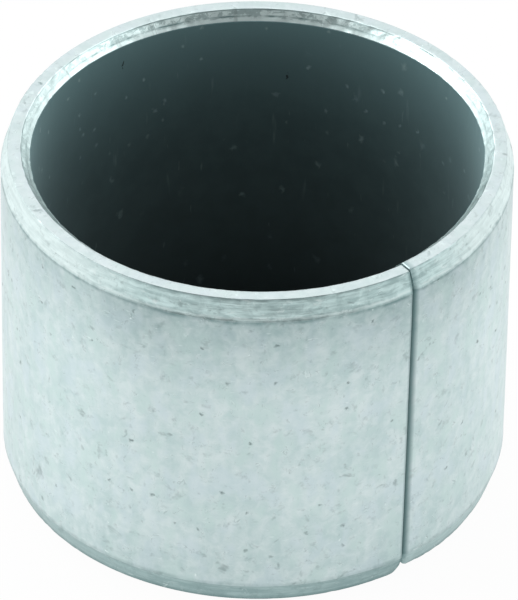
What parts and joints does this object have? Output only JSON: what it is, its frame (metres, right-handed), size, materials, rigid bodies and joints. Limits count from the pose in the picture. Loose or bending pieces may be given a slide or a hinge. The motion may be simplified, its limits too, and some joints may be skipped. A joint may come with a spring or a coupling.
{
  "type": "split sleeve bushing",
  "caption": "Thin-walled cylindrical sleeve bushing rolled from a layered metal strip, with a straight butt split, chamfered ends and a dark low-friction bore that guides a rotating shaft.",
  "frame": {"origin": "on the bore's axis, in the plane of the lower end face", "axes": "+Z along the bore's axis from the lower end face to the upper one; the butt split faces -Y; +X completes the right-handed frame"},
  "size_m": [0.034, 0.034, 0.025],
  "materials": {
    "steel": "bare rolled low-carbon steel strip",
    "bronze": "sintered porous bronze, filled with the sliding polymer",
    "sliding_polymer": "dark grey satin dry lubricant layer",
    "tin": "flash tin plating, dull and slightly mottled"
  },
  "bodies": {
    "root": {"steel_backing": "steel", "bronze_interlayer": "bronze", "sliding_layer": "sliding_polymer", "tin_plating": "tin"}
  },
  "joints": []
}
